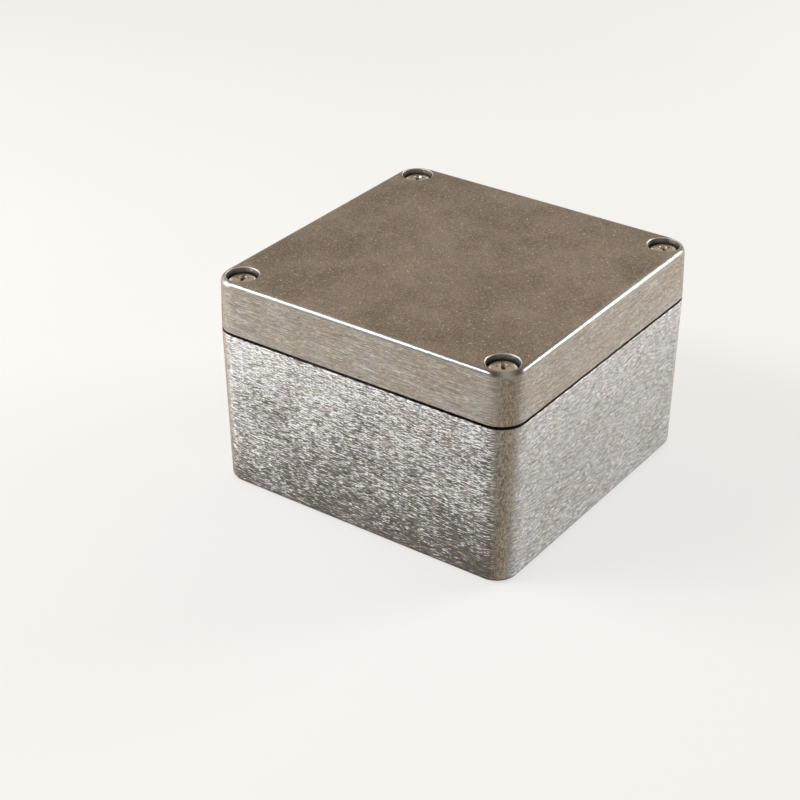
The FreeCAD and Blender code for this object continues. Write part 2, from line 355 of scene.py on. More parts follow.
def cast_skin(tree, place):
    """Colour and height of metal as it left the mould."""
    clouds = noise(tree, place, (0.09, 0.09, 0.13), detail=4.0, roughness=0.62, seed=41.0)
    pebbles = noise(tree, place, (1.6, 1.6, 1.6), detail=3.0, roughness=0.6, seed=17.0)
    clouded = mix_colour(tree, step_between(tree, clouds, 0.3, 0.7), CAST_DARK, CAST_LIGHT)
    return mix_colour(tree, pebbles * 0.5, clouded, CAST_PEBBLE), pebbles


print("cast skin ready")

# %% [markdown]
# ## Rubbed walls and worn uprights
#
# Both castings went over a belt after casting, so their walls share two things. The rounded
# uprights never lay flat on the belt: they keep a brown skin with fine streaks. The two side
# walls had a finer belt than the front and the back. One function finds both places, and
# another lays the skin of the uprights over the colour of a wall.

# %% Uprights and side walls
def walls_of(tree, place):
    """Two masks: 1 in the middle of the upright rounded corners, and 1 on the two side walls."""
    x, y = off_centre(tree, place, CORNER_X_MM, CORNER_Y_MM)
    corner = step_between(tree, smaller(x, y), 1.6, 6.6)
    return corner, step_between(tree, x - y, -2.0, 2.0)


def streaked_corner(tree, place, corner, wall, dark, light):
    """A wall's colour with the streaked skin of the rounded uprights over it."""
    streaks = noise(tree, place, (2.0, 2.0, 0.8), detail=4.0, roughness=0.8, seed=61.0)
    skin = mix_colour(tree, streaks * 4.2 - 1.45, dark, light)
    return mix_colour(tree, corner * (streaks * 0.8 + 0.5), wall, skin)


print("uprights rounded by", CORNER_RADIUS_MM, "mm")

# %% [markdown]
# ## The base: coarse level strokes
#
# The walls of the base have been rubbed on a coarse belt. Each stroke is a shallow scratch one
# to three millimetres long and a few tenths high. Fresh metal shows bright in one, and old skin
# stays dark in the next. Bump alone gives the glitter but goes dull where the light is even, and
# colour alone looks printed. So the same strokes drive both.
#
# Level scratches also spread a reflection up and down, because only across them does the surface
# rise and fall. That is what Anisotropic with a quarter turn of rotation does. The flat walls
# catch a lamp at any height, while the upright between them looks past every lamp and stays dark.

# %% Strokes on the base
RIM_MM = base_rim / MM
BELT_ROTATION = 0.25
SKIN_DARK = (0.13, 0.11, 0.09, 1.0)
SKIN_WARM = (0.60, 0.56, 0.50, 1.0)
SKIN_NEUTRAL = (0.63, 0.62, 0.615, 1.0)


def base_strokes(tree, place):
    """Coarse strokes, fine strokes, the grain between them, and a faint random colour."""
    swaying = swayed(tree, place, length=9.0, rise=0.45, seed=3.0)
    coarse, film = dashes(tree, swaying, (0.36, 0.36, 4.6), seed=11.0)
    fine, _ = dashes(tree, swaying, (0.80, 0.80, 4.8), seed=27.0)
    grain = noise(tree, swaying, (0.28, 0.28, 3.6), detail=3.0, roughness=0.8, seed=33.0)
    return coarse, fine, grain, film


def rubbing_and_painted_light(tree, place, side):
    """Lighter or darker than the mean: rubbing in clouds, and painted light towards rim and left."""
    patches = noise(tree, place, (0.06, 0.06, 0.06), detail=3.0, roughness=0.6, seed=5.0)
    cloud = step_between(tree, patches, 0.28, 0.72) - 0.5
    # Painted light: the wall grows lighter towards the rim and towards the left.
    rise = along(tree, place, "Z") / RIM_MM - 0.5
    rightwards = along(tree, place, "X") / (box_size.x / MM)
    return (cloud * 0.24 + rise * 0.56 - rightwards * 0.26) * (1.0 - side * 0.72)


def base_skin(tree, place, side, tone):
    """Old skin between the strokes. Its light end is warm in some places and neutral in others."""
    tint = noise(tree, place, (0.11, 0.11, 0.16), detail=2.0, roughness=0.6, seed=51.0)
    neutral = step_between(tree, tint + side * 0.12, 0.35, 0.65)
    return mix_colour(tree, tone, SKIN_DARK, mix_colour(tree, neutral, SKIN_WARM, SKIN_NEUTRAL))


print("strokes of the base ready, rim at", round(RIM_MM, 2), "mm")

# %% [markdown]
# ## The whole of the base
#
# The walls put the strokes together. Two narrow bands are painted dark as shade: the land round
# the rim, which lies in the lid's shadow, and the rounded foot, where it meets the floor. The walls
# lean in a little towards the foot, so the bare cast skin only takes over where a point lies
# deeper inside the outline than that.

# %% Base casting
FOOT_RADIUS_MM = 2.2
BASE_WALLS_WITHIN_MM = 2.5
FRESH_METAL = (1.0, 1.0, 1.0, 1.0)
FOOT_AND_RIM_PAINTED_SHADE = (0.06, 0.05, 0.04, 1.0)


def base_walls(tree, place):
    """The rubbed outer walls."""
    height = along(tree, place, "Z")
    corner, side = walls_of(tree, place)
    coarse, fine, grain, film = base_strokes(tree, place)
    speckle = noise(tree, place, (1.8, 1.8, 2.6), detail=3.0, roughness=0.8, seed=71.0)
    # rubbed holds the clouds of rubbing and a painted light, brighter towards the rim and the left.
    rubbed = rubbing_and_painted_light(tree, place, side)
    contrast = (1.0 - side * 0.32) * (1.0 - corner * 0.5)
    stroke = (coarse * 0.9 + grain * 1.9 - 1.4) * contrast
    tone = stroke + 0.25 + rubbed + side * (speckle * 1.5 - 0.32)
    fresh = step_between(tree, fine + rubbed * 0.7, 0.64, 0.84) * contrast * (1.0 - corner)
    strokes = mix_colour(tree, fresh, base_skin(tree, place, side, tone), FRESH_METAL)
    streaked = streaked_corner(
        tree, place, corner, mix_colour(tree, 0.05, strokes, film),
        dark=(0.08, 0.055, 0.036, 1.0), light=(0.66, 0.57, 0.46, 1.0))
    # Painted shade: the rounded foot and the land at the rim are darkened where shadow falls.
    foot = 1.0 - step_between(tree, height, 0.3 * FOOT_RADIUS_MM, FOOT_RADIUS_MM)
    land = step_between(tree, height, RIM_MM - 0.08, RIM_MM - 0.02)
    painted_shade = larger(foot * 0.92, land * 0.8)
    return principled(tree, {
        "Base Color": mix_colour(tree, painted_shade, streaked, FOOT_AND_RIM_PAINTED_SHADE),
        "Metallic": 1.0,
        "Roughness": 0.60 - fresh * 0.12 + corner * 0.08,
        "Anisotropic": 0.55,
        "Anisotropic Rotation": BELT_ROTATION,
        "Normal": bumped(tree, coarse * 0.4 + grain * 0.6, depth_mm=0.10),
    })


def base_inner(tree, place):
    """The cast skin of the inside and the underside."""
    colour, pebbles = cast_skin(tree, place)
    return principled(tree, {
        "Base Color": colour,
        "Metallic": 1.0,
        "Roughness": 0.52 + pebbles * 0.12,
        "Normal": bumped(tree, pebbles, depth_mm=0.10),
    })


def base_finish():
    """Rubbed walls outside, cast skin inside."""
    material, tree = new_finish("base_casting_rubbed")
    place = millimetres(tree)
    inside = deeper_than(tree, place, BASE_WALLS_WITHIN_MM)
    finish_with(tree, mix_surface(tree, inside, base_walls(tree, place), base_inner(tree, place)))
    return material


base_casting = base_finish()
print("finish:", base_casting.name)

# %% [markdown]
# ## The sides of the lid: hairlines
#
# The lid was rubbed more finely, so its sides carry long thin hairlines in a warm grey. The
# rounded edge above them has been polished by handling, which is why it draws such a thin bright
# line. It is darker and smoother than the sides, and that keeps the line narrow. Its colour holds
# painted light too: a painted highlight where it turns round the uprights, and painted shade on
# the two side walls, where the lamp behind would draw the line too bright.

# %% Lid sides
LID_TOP_MM = cad_high.z / MM
LID_EDGE_RADIUS_MM = 2.4
SHADOW_GAP_MM = 0.9
LID_RIM_MM = RIM_MM + SHADOW_GAP_MM
WORN_WARM = (0.40, 0.335, 0.27, 1.0)
WORN_NEUTRAL = (0.43, 0.395, 0.35, 1.0)
LINE_LIGHT = (0.78, 0.755, 0.72, 1.0)
LINE_DARK = (0.15, 0.12, 0.095, 1.0)
FRONT_EDGE = (0.36, 0.35, 0.34, 1.0)
SIDE_EDGE_PAINTED_SHADE = (0.25, 0.243, 0.235, 1.0)
CORNER_EDGE_PAINTED_HIGHLIGHT = (0.72, 0.70, 0.66, 1.0)
JOINT_PAINTED_SHADE = (0.05, 0.04, 0.035, 1.0)


def hairlines(tree, place, contrast):
    """Colour and height of long level hairlines."""
    swaying = swayed(tree, place, length=12.0, rise=0.5, seed=8.0)
    hairs = noise(tree, swaying, (0.08, 0.08, 5.0), detail=3.0, roughness=0.75, seed=31.0)
    short, film = dashes(tree, swaying, (0.8, 0.8, 4.2), seed=23.0)
    patches = noise(tree, place, (0.07, 0.07, 0.10), detail=3.0, roughness=0.6, seed=14.0)
    line = ((hairs - 0.5) * 1.6 + (short - 0.5) * 0.45) * contrast + 0.5
    worn = mix_colour(tree, step_between(tree, patches, 0.3, 0.7), WORN_WARM, WORN_NEUTRAL)
    bright = mix_colour(tree, step_between(tree, line, 0.5, 1.0), worn, LINE_LIGHT)
    lined = mix_colour(tree, 0.75 - step_between(tree, line, 0.0, 0.5) * 0.75, bright, LINE_DARK)
    return mix_colour(tree, 0.06, lined, film), line


def lid_sides(tree, place):
    """Hairlines, the polished edge over them, and painted shade along the joint under them."""
    height = along(tree, place, "Z")
    corner, side = walls_of(tree, place)
    lined, line = hairlines(tree, place, contrast=1.0 - corner * 0.6)
    streaked = streaked_corner(
        tree, place, corner, lined, dark=(0.095, 0.066, 0.043, 1.0), light=(0.60, 0.51, 0.41, 1.0))
    polished = step_between(
        tree, height, LID_TOP_MM - LID_EDGE_RADIUS_MM, LID_TOP_MM - 0.5 * LID_EDGE_RADIUS_MM)
    # Painted light on the edge: a painted highlight round the uprights, painted shade on the side walls.
    edge = mix_colour(tree, corner, mix_colour(tree, side, FRONT_EDGE, SIDE_EDGE_PAINTED_SHADE), CORNER_EDGE_PAINTED_HIGHLIGHT)
    edged = mix_colour(tree, polished * 0.85, streaked, edge)
    # Painted shade along the lower rim of the lid, at the joint.
    joint = 1.0 - step_between(tree, height, LID_RIM_MM + 0.2, LID_RIM_MM + 0.4)
    return principled(tree, {
        "Base Color": mix_colour(tree, joint, edged, JOINT_PAINTED_SHADE),
        "Metallic": 1.0,
        "Roughness": 0.58 - polished * (0.28 - corner * 0.26) + corner * 0.06,
        "Anisotropic": 0.6,
        "Anisotropic Rotation": BELT_ROTATION,
        "Normal": bumped(tree, line * (1.0 - polished * 0.92), depth_mm=0.07),
    })


print("sides of the lid from", round(LID_RIM_MM, 2), "to", round(LID_TOP_MM, 2), "mm")

# %% [markdown]
# ## The top and the underside of the lid
#
# The top was only tumbled: it is matt, mottled like stone, and dotted with bright points where a
# chip struck it. The counterbores are painted dark as shade, less so towards their mouths, and a
# painted highlight makes a thin bright lip round each one. The hollow underneath is bare cast skin.

# %% Lid top and hollow
COUNTERBORE_RADIUS_MM = 5.7
LID_SIDES_WITHIN_MM = 2.9
TOP_DARK = (0.34, 0.28, 0.22, 1.0)
TOP_LIGHT = (0.50, 0.43, 0.35, 1.0)
SPECK_LIGHT = (0.68, 0.63, 0.56, 1.0)
SPECK_DARK = (0.12, 0.092, 0.07, 1.0)
CHIP_BRIGHT = (0.95, 0.93, 0.90, 1.0)
LIP_PAINTED_HIGHLIGHT = (0.92, 0.90, 0.87, 1.0)
BORE_PAINTED_SHADE_DEEP = (0.11, 0.10, 0.09, 1.0)
BORE_PAINTED_SHADE_MOUTH = (0.42, 0.41, 0.40, 1.0)


def tumbled_top(tree, place):
    """Colour and height of the tumbled top."""
    speckle, film = dashes(tree, place, (3.0, 3.0, 3.0), seed=2.0)
    mottle = noise(tree, place, (1.1, 1.1, 1.1), detail=4.0, roughness=0.8, seed=2.0)
    clouds = noise(tree, place, (0.055, 0.055, 0.055), detail=4.0, roughness=0.62, seed=19.0)
    chips = tree.add("ShaderNodeTexVoronoi", {"feature": "F1"}, {"Vector": place, "Scale": 0.42})
    struck = 1.0 - step_between(tree, chips, 0.07, 0.16)
    ground = mix_colour(tree, step_between(tree, clouds, 0.30, 0.70), TOP_DARK, TOP_LIGHT)
    tone = mottle * 0.5 + speckle * 0.5
    light = mix_colour(tree, step_between(tree, tone, 0.50, 0.92), ground, SPECK_LIGHT)
    dark = mix_colour(tree, 0.45 - step_between(tree, tone, 0.12, 0.50) * 0.45, light, SPECK_DARK)
    filmed = mix_colour(tree, 0.07, dark, film)
    return mix_colour(tree, struck * 0.8, filmed, CHIP_BRIGHT), tone


def beyond_bore(tree, from_axis, low_mm, high_mm):
    """0 to 1 between two distances outside the wall of the nearest counterbore."""
    return step_between(tree, from_axis, COUNTERBORE_RADIUS_MM + low_mm, COUNTERBORE_RADIUS_MM + high_mm)


def lid_flats(tree, place):
    """The tumbled top, the counterbores in it and the cast skin of the hollow under it."""
    height = along(tree, place, "Z")
    from_axis = from_screw_axis(tree, place)
    top_colour, tone = tumbled_top(tree, place)
    skin_colour, pebbles = cast_skin(tree, place)
    below_top = 1.0 - step_between(tree, height, LID_TOP_MM - LID_EDGE_RADIUS_MM, LID_TOP_MM - 0.6)
    # A painted highlight: a thin bright ring round the mouth of each counterbore.
    lip_highlight = beyond_bore(tree, from_axis, -0.05, 0.0) * (1.0 - beyond_bore(tree, from_axis, 0.12, 0.25))
    lipped = mix_colour(tree, lip_highlight * 0.8, top_colour, LIP_PAINTED_HIGHLIGHT)
    ground_colour = mix_colour(tree, below_top, lipped, skin_colour)
    in_bore = (1.0 - beyond_bore(tree, from_axis, 0.02, 0.15)) * (
        1.0 - step_between(tree, height, LID_TOP_MM - 0.7, LID_TOP_MM - 0.3))
    # Painted shade inside the counterbores, darkest deep down.
    up_bore = step_between(tree, height, LID_TOP_MM - 4.0, LID_TOP_MM - 1.0)
    bore_shade = mix_colour(tree, up_bore, BORE_PAINTED_SHADE_DEEP, BORE_PAINTED_SHADE_MOUTH)
    return principled(tree, {
        "Base Color": mix_colour(tree, in_bore, ground_colour, bore_shade),
        "Metallic": 1.0,
        "Roughness": 0.54 + pebbles * 0.08 - in_bore * 0.15,
        "Normal": bumped(tree, tone * (1.0 - below_top) + pebbles * below_top, depth_mm=0.07),
    })


def lid_finish():
    """Hairlines on the sides; the flats on top, in the counterbores and deeper inside."""
    material, tree = new_finish("lid_casting_tumbled")
    place = millimetres(tree)
    level = step_between(tree, along(tree, place, "Z"), LID_TOP_MM - 0.35, LID_TOP_MM - 0.05)
    deep = deeper_than(tree, place, LID_SIDES_WITHIN_MM)
    bored = 1.0 - beyond_bore(tree, from_screw_axis(tree, place), 0.02, 0.15)
    share = larger(larger(level, deep), bored)
    finish_with(tree, mix_surface(tree, share, lid_sides(tree, place), lid_flats(tree, place)))
    return material


lid_casting = lid_finish()
print("finish:", lid_casting.name)

# %% [markdown]
# ## Steel, rubber and nylon
#
# The small parts need less. Stainless screws are turned, so they are smooth with a faint
# roughness that varies in patches, and their cross recess is painted dark as shade. The gasket is
# matt silicone rubber, and the rings are natural nylon, which lets a little light into its surface.

# %% Small finishes
RECESS_PAINTED_SHADE = (0.13, 0.07, 0.025, 1.0)


def steel_finish(name, light, dark, roughness, sunk):
    """Turned steel. The function sunk gives the mask of the recess, which is painted dark as shade."""
    material, tree = new_finish(name)
    place = millimetres(tree)
    patches = noise(tree, place, (0.6, 0.6, 0.6), detail=3.0, roughness=0.6)
    rings = noise(tree, place, (0.3, 0.3, 9.0), detail=1.0, seed=4.0)
    clean = mix_colour(tree, patches, dark, light)
    finish_with(tree, principled(tree, {
        # The cross recess is painted dark as shade.
        "Base Color": mix_colour(tree, sunk(tree, place), clean, RECESS_PAINTED_SHADE),
        "Metallic": 1.0,
        "Roughness": roughness + patches * 0.12,
        "Normal": bumped(tree, rings, depth_mm=0.006),
    }))
    return material


def in_recess(tree, place, from_axis, crown_mm, reach, shaded, seat):
    """1 deep in a cross recess and 0 elsewhere. Each pair says where that limit starts and ends."""
    depth = crown_mm - along(tree, place, "Z")
    near_axis = 1.0 - step_between(tree, from_axis, *reach)
    above_seat = 1.0 - step_between(tree, depth, *seat)
    return near_axis * step_between(tree, depth, *shaded) * above_seat


def in_lid_screw_recess(tree, place):
    """The mask of the cross recesses of the four lid screws."""
    from_axis = from_screw_axis(tree, place)
    return in_recess(tree, place, from_axis, screw_high.z / MM,
                     reach=(2.6, 3.0), shaded=(0.8, 1.7), seat=(2.9, 3.0))


def in_earth_screw_recess(tree, place):
    """The mask of the cross recess of the earth screw."""
    low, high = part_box("earth_screw")
    x = along(tree, place, "X") - (low.x + high.x) / 2 / MM
    y = along(tree, place, "Y") - (low.y + high.y) / 2 / MM
    return in_recess(tree, place, length_of(x, y), high.z / MM,
                     reach=(2.1, 2.4), shaded=(0.25, 0.8), seat=(2.5, 2.6))


def plain_finish(name, light, dark, roughness, grain_mm, depth_mm, constants=None):
    """A finish with one fine grain, for rubber and plastic."""
    material, tree = new_finish(name)
    grain = noise(tree, millimetres(tree), (1 / grain_mm,) * 3, detail=3.0, roughness=0.6)
    inputs = {
        "Base Color": mix_colour(tree, grain, dark, light),
        "Roughness": roughness + grain * 0.1,
        "Normal": bumped(tree, grain, depth_mm),
    }
    finish_with(tree, principled(tree, {**inputs, **(constants or {})}))
    return material


screw_steel = steel_finish(
    "screw_stainless", light=(0.86, 0.80, 0.71, 1.0), dark=(0.66, 0.60, 0.51, 1.0), roughness=0.24,
    sunk=in_lid_screw_recess)
earth_steel = steel_finish(
    "earth_zinc_plate", light=(0.80, 0.80, 0.78, 1.0), dark=(0.66, 0.67, 0.68, 1.0), roughness=0.22,
    sunk=in_earth_screw_recess)
gasket_rubber = plain_finish(
    "gasket_silicone", light=(0.065, 0.065, 0.07, 1.0), dark=(0.035, 0.035, 0.04, 1.0), roughness=0.55,
    grain_mm=0.5, depth_mm=0.02)
ring_nylon = plain_finish(
    "ring_nylon", light=(0.80, 0.79, 0.74, 1.0), dark=(0.70, 0.69, 0.63, 1.0), roughness=0.38,
    grain_mm=2.0, depth_mm=0.02, constants={"Subsurface Weight": 0.15, "Subsurface Scale": 0.001})
print("finishes:", screw_steel.name, earth_steel.name, gasket_rubber.name, ring_nylon.name)

# %% [markdown]
# ## Dressing the frame's own pieces
#
# Each piece of the frame keeps its mesh and its place. Only its material slot changes.

# %% Dress the castings and the soft parts
def dress(node, material):
    """Puts a finish in every material slot of one of the frame's pieces."""
    slots = nodes[node].data.materials
    for index in range(len(slots)):
        slots[index] = material
    print("dressed", node, "in", material.name)


dress("base", base_casting)
dress("lid", lid_casting)
dress("gasket", gasket_rubber)
dress("earth_washer", earth_steel)
for screw_place in SCREW_PLACES:
    dress("screw_ring_" + screw_place, ring_nylon)

# %% [markdown]
# ## A thread by Geometry Nodes
#
# A screw thread is one ridge wound round a core. A modelled spiral would do for one screw, but
# the box has four tapped holes, four lid screws and an earth screw. So one node tree winds the
# ridge from named sizes, and every thread uses it. The tree takes a mesh with one point at the
# foot of each thread's axis. The ridge is a trapezium with a wide foot and a narrow crest, and
# it fades at both ends, as a cut thread does.
#
# This step has a known fault. The spiral turns clockwise as it rises, seen from above, so the
# threads are left-handed and should be right-handed. That also turns the section round. A
# positive reach should lead away from the axis, as on a screw, and a negative one towards it, as
# in a tapped hole, but both lead the other way. The crests are buried in the metal, and only the
# foot of each ridge shows, as a low band. The place to mend both is `Reverse` on the spiral.

# %% The thread tree
STEPS_PER_TURN = 28
HALF_FOOT = 0.44
HALF_CREST = 0.07


def ridge_profile(tree, reach, pitch):
    """The section of the ridge. Across should lead away from the axis, but leads towards it."""
    def point(across, up):
        """One corner of the section."""
        return tree.add("ShaderNodeCombineXYZ", inputs={"X": across, "Y": up})

    sunk = reach * -0.12
    return tree.add("GeometryNodeCurvePrimitiveQuadrilateral", {"mode": "POINTS"}, {
        "Point 1": point(sunk, pitch * -HALF_FOOT), "Point 2": point(reach, pitch * -HALF_CREST),
        "Point 3": point(reach, pitch * HALF_CREST), "Point 4": point(sunk, pitch * HALF_FOOT)})


def faded_spiral(tree, core, pitch, turns):
    """A spiral up the core whose radius, which scales the section, falls off at both ends."""
    spiral = tree.add("GeometryNodeCurveSpiral", inputs={
        "Resolution": STEPS_PER_TURN, "Rotations": turns, "Start Radius": core, "End Radius": core,
        "Height": pitch * turns, "Reverse": False})
    upright = tree.add("GeometryNodeSetCurveNormal", {"mode": "Z_UP"}, {"Curve": spiral})
    part_way = tree.add("GeometryNodeSplineParameter", output="Factor")
    to_end = smaller(part_way, 1.0 - part_way) * turns
    fade = smaller(to_end * 2.0 + 0.04, 1.0)
    return tree.add("GeometryNodeSetCurveRadius", inputs={"Curve": upright, "Radius": fade})


def thread_tree():
    """The node tree that winds a ridge at each point of a mesh."""
    group = bpy.data.node_groups.new("wound_thread", "GeometryNodeTree")
    face = group.interface
    face.new_socket(name="Axes", in_out="INPUT", socket_type="NodeSocketGeometry")
    for name in ("Core Radius", "Reach", "Pitch", "Turns"):
        face.new_socket(name=name, in_out="INPUT", socket_type="NodeSocketFloat")
    face.new_socket(name="Finish", in_out="INPUT", socket_type="NodeSocketMaterial")
    face.new_socket(name="Threads", in_out="OUTPUT", socket_type="NodeSocketGeometry")

    tree = Tree(group)
    given = group.nodes.new("NodeGroupInput")
    axes, core, reach, pitch, turns, finish = (Wire(socket) for socket in given.outputs[:6])
    ridge = tree.add("GeometryNodeCurveToMesh", inputs={
        "Curve": faded_spiral(tree, core, pitch, turns),
        "Profile Curve": ridge_profile(tree, reach, pitch),
        "Fill Caps": True})
    placed = tree.add("GeometryNodeInstanceOnPoints", inputs={"Points": axes, "Instance": ridge})
    real = tree.add("GeometryNodeRealizeInstances", inputs={0: placed})
    finished = tree.add("GeometryNodeSetMaterial", inputs={"Geometry": real, "Material": finish})
    tree.add("NodeGroupOutput", inputs={0: finished})
    return group


wound_thread = thread_tree()
print("thread tree has", len(wound_thread.nodes), "nodes")

# %% [markdown]
# ## From the tree to a plain mesh
#
# The tree sits on an object only for a moment. Its result is taken off as a plain mesh, doubled
# points are merged, and every face is turned outwards, so that nothing later depends on the
# modifier.

# %% Winding threads from the tree
def object_from(name, mesh):
    """A new object for a mesh, linked into the scene."""
    made = bpy.data.objects.new(name, mesh)
    bpy.context.scene.collection.objects.link(made)
    return made


def closed_mesh(name, mesh):
    """Merges doubled points and turns every face outwards."""
    work = bmesh.new()
    work.from_mesh(mesh)
    bmesh.ops.remove_doubles(work, verts=work.verts, dist=1e-6)
    bmesh.ops.recalc_face_normals(work, faces=work.faces)
    made = bpy.data.meshes.new(name)
    for material in mesh.materials:
        made.materials.append(material)
    work.to_mesh(made)
    work.free()
    return made


def wind_threads(name, feet, core_radius, reach, pitch, turns, finish):
    """One plain mesh of the threads that start at the given feet."""
    points = bpy.data.meshes.new(name + "_axes")
    points.from_pydata([tuple(foot) for foot in feet], [], [])
    holder = object_from(name + "_axes", points)
    modifier = holder.modifiers.new("wound", "NODES")
    modifier.node_group = wound_thread
    values = {
        "Core Radius": core_radius, "Reach": reach, "Pitch": pitch, "Turns": turns, "Finish": finish}
    for item in wound_thread.interface.items_tree:
        if item.in_out == "INPUT" and item.name in values:
            modifier[item.identifier] = values[item.name]
    evaluated = holder.evaluated_get(bpy.context.evaluated_depsgraph_get())
    wound = bpy.data.meshes.new_from_object(evaluated)
    bpy.data.objects.remove(holder)
    return closed_mesh(name, wound)


print("threads can be wound now")

# %% [markdown]
# ## The four tapped holes
#
# The holes in the base are plain in the frame, as wide as the outside of the screws' threads.
# The ridge should reach inwards from there almost to the core of the screw. It starts a few turns
# below the screw's tip, half a pitch out of step with the ridge on the screw, so that the two
# would mesh at every height. With the fault of the thread step it lies in the casting instead.

# %% Threads in the base
PITCH = 0.8 * MM
THREAD_RADIUS = 2.5 * MM
CORE_RADIUS = 2.04 * MM
HOLE_RADIUS = 2.55 * MM
CREST_CLEARANCE = 0.05 * MM
RIM_BELOW_MOUTH = 0.6 * MM
TURNS_BELOW_TIP = 4


def screw_axis(node):
    """Where a screw's axis stands, from the frame."""
    low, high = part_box(node)
    return Vector(((low.x + high.x) / 2, (low.y + high.y) / 2, 0.0))


screw_tip = base_rim - THREAD_LENGTH
hole_foot = screw_tip - TURNS_BELOW_TIP * PITCH + PITCH / 2
hole_turns = (base_rim - RIM_BELOW_MOUTH - hole_foot) / PITCH
feet = [screw_axis("lid_screw_" + place) + Vector((0, 0, hole_foot)) for place in SCREW_PLACES]
tapped = object_from("tapped_hole_threads", wind_threads(
    "tapped_hole_threads", feet, HOLE_RADIUS, CORE_RADIUS + CREST_CLEARANCE - HOLE_RADIUS, PITCH,
    hole_turns, base_casting))
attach(tapped, "base")
print("tapped holes:", len(tapped.data.polygons), "faces,", round(hole_turns, 1), "turns each")

# %% [markdown]
# ## Pan head screws with a cross recess
#
# A turned screw is a profile swept round its axis, which `bmesh.ops.spin` does directly. The
# crown is a quarter of a flattened ellipse, written as a formula, so it is smooth at any size.
# The cross recess is pressed into the head by a pointed punch. The boolean modifier does the
# same with a punch of two tapered wings and a pyramid, which opens the corners between them.

# %% Turned screws
SHARP_FROM = math.radians(32)
PUNCH_ABOVE = 0.3 * MM
PYRAMID_SHARE = 0.62


def spun(name, profile, axis, steps=64):
    """Closed turned mesh from (radius, height) points that start and end on the axis."""
    work = bmesh.new()
    points = [work.verts.new((radius, 0.0, height)) for radius, height in profile]
    edges = [work.edges.new(pair) for pair in zip(points, points[1:])]
    bmesh.ops.spin(
        work, geom=points + edges, axis=(0, 0, 1), cent=(0, 0, 0), angle=math.tau, steps=steps)
    bmesh.ops.remove_doubles(work, verts=work.verts, dist=1e-6)
    bmesh.ops.recalc_face_normals(work, faces=work.faces)
    bmesh.ops.translate(work, verts=work.verts, vec=axis)
    mesh = bpy.data.meshes.new(name)
    work.to_mesh(mesh)
    work.free()
    return mesh


def crown(radius, shoulder, top, steps=14):
    """Points of a pan head's crown, from the axis to the shoulder."""
    points = []
    for step in range(steps + 1):
        turn = math.radians(90 * step / steps)
        height = shoulder + (top - shoulder) * math.cos(turn) ** 0.8
        points.append((radius * math.sin(turn), height))
    return points


def tapered_block(work, span, width, low, high):
    """Adds a closed block, narrow at its foot. Returns its eight corners."""
    corners = []
    for share_x, share_y, height in ((0.16, 0.2, low), (0.5, 0.5, high)):
        for x, y in ((1, 1), (-1, 1), (-1, -1), (1, -1)):
            corners.append(work.verts.new((x * share_x * span, y * share_y * width, height)))
    work.faces.new(corners[3::-1])
    work.faces.new(corners[4:])
    for index in range(4):
        after = (index + 1) % 4
        work.faces.new((corners[index], corners[after], corners[after + 4], corners[index + 4]))
    return corners


def punch(name, recess, top, axis, turn):
    """Two crossed wings and a pyramid between them, all narrowing towards the foot."""
    work = bmesh.new()
    low = top - recess["depth"]
    high = top + PUNCH_ABOVE
    span = recess["span"]
    pyramid = PYRAMID_SHARE * span
    wing = (span, recess["width"])
    for side, size in ((0.0, wing), (math.pi / 2, wing), (math.pi / 4, (pyramid, pyramid))):
        corners = tapered_block(work, *size, low, high)
        placed = Matrix.Translation(axis) @ Matrix.Rotation(side + turn, 4, "Z")
        bmesh.ops.transform(work, matrix=placed, verts=corners)
    bmesh.ops.recalc_face_normals(work, faces=work.faces)
    mesh = bpy.data.meshes.new(name)
    work.to_mesh(mesh)
    work.free()
    return mesh


def cut(body, tool):
    """Mesh of body less tool; both objects are used up."""
    modifier = body.modifiers.new("cut", "BOOLEAN")
    modifier.operation = "DIFFERENCE"
    modifier.solver = "EXACT"
    modifier.use_self = True
    modifier.object = tool
    evaluated = body.evaluated_get(bpy.context.evaluated_depsgraph_get())
    mesh = bpy.data.meshes.new_from_object(evaluated)
    bpy.data.objects.remove(body)
    bpy.data.objects.remove(tool)
    return mesh


def joined(name, meshes, finish):
    """One mesh of several, all in one finish, smooth except at edges sharper than SHARP_FROM."""
    work = bmesh.new()
    for mesh in meshes:
        work.from_mesh(mesh)
    made = bpy.data.meshes.new(name)
    work.to_mesh(made)
    work.free()
    made.materials.clear()
    made.materials.append(finish)
    for face in made.polygons:
        face.material_index = 0
    made.set_sharp_from_angle(angle=SHARP_FROM)
    for face in made.polygons:
        face.use_smooth = True
    return made


print("turning and pressing ready")

# %% [markdown]
# ## One screw from its measures
#
# Crown, bevel and shank are turned in one piece where the plain solid stands in the frame. The
# punch presses the recess, and a ridge is wound round the core. The result takes the place of
# the frame's node, which is hidden, and rides on its body.

# %% One screw
CROWN_STARTS = 0.55
HEAD_BEVEL = 0.2 * MM


def turned_screw(node, shank, recess, thread, finish, body, turn):
    """Builds one screw in the place of a node of the frame; turn is the angle of its recess."""
    low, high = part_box(node)
    axis = screw_axis(node)
    radius = (high.x - low.x) / 2
    seat = shank["seat"]
    name = node + "_turned"
    head = crown(radius, seat + CROWN_STARTS * (high.z - seat), high.z)
    under = [(radius, seat + HEAD_BEVEL), (radius - HEAD_BEVEL, seat)]
    below = shank["profile"](low.z)
    solid = object_from(name + "_solid", spun(name + "_solid", head + under + below, axis))
    tool = object_from(name + "_punch", punch(name + "_punch", recess, high.z, axis, turn))
    solid_mesh = cut(solid, tool)
    foot = axis + Vector((0, 0, low.z))
    ridge = wind_threads(name + "_ridge", [foot], thread["core"], thread["reach"], thread["pitch"],
                         thread["turns"], finish)
    screw = object_from(name, joined(name, [solid_mesh, ridge], finish))
    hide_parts(node)
    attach(screw, body)
    print(name, len(screw.data.polygons), "faces")


print("a screw is one call now")

